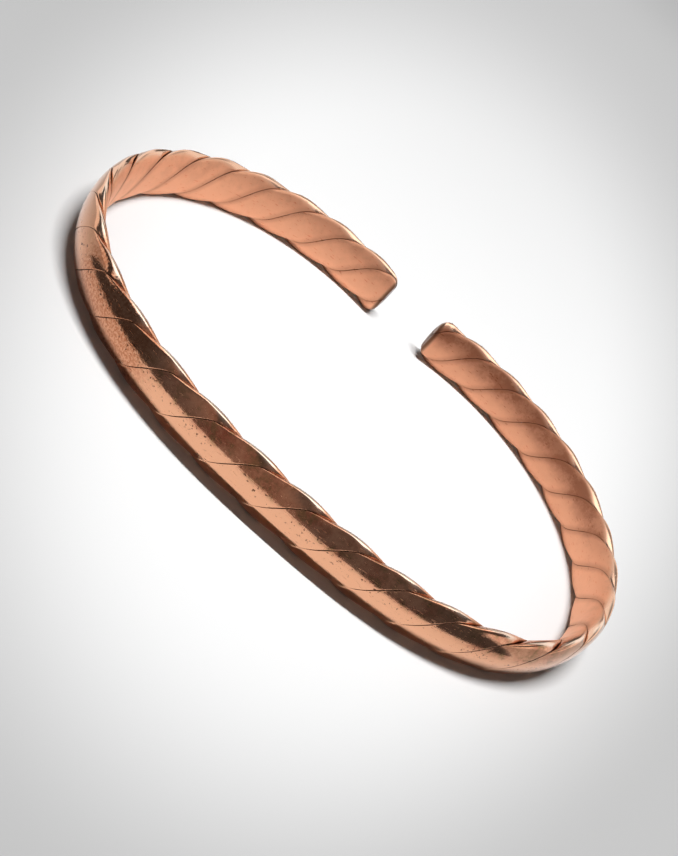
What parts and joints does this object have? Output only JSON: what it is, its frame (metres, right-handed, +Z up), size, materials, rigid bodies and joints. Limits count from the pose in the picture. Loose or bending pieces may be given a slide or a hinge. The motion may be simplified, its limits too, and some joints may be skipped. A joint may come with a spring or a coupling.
{
  "type": "open twisted cuff bracelet",
  "caption": "Open oval cuff bracelet of flattened copper wires twisted together like a rope, sprung round the wrist and worn with its gap on the inner side.",
  "frame": {"origin": "on the surface that the cuff lies on, under the middle of its box", "axes": "+X along the oval's long way, to the right as seen from the front, +Y from the wide flat front to the gap, +Z up across the band, which lies on its lower edge"},
  "size_m": [0.0642, 0.0446, 0.0057],
  "materials": {
    "copper": "polished bare copper with fine scratches and a little tarnish in the seams"
  },
  "bodies": {
    "root": {"strand_a": "copper", "strand_b": "copper", "strand_c": "copper"}
  },
  "joints": []
}
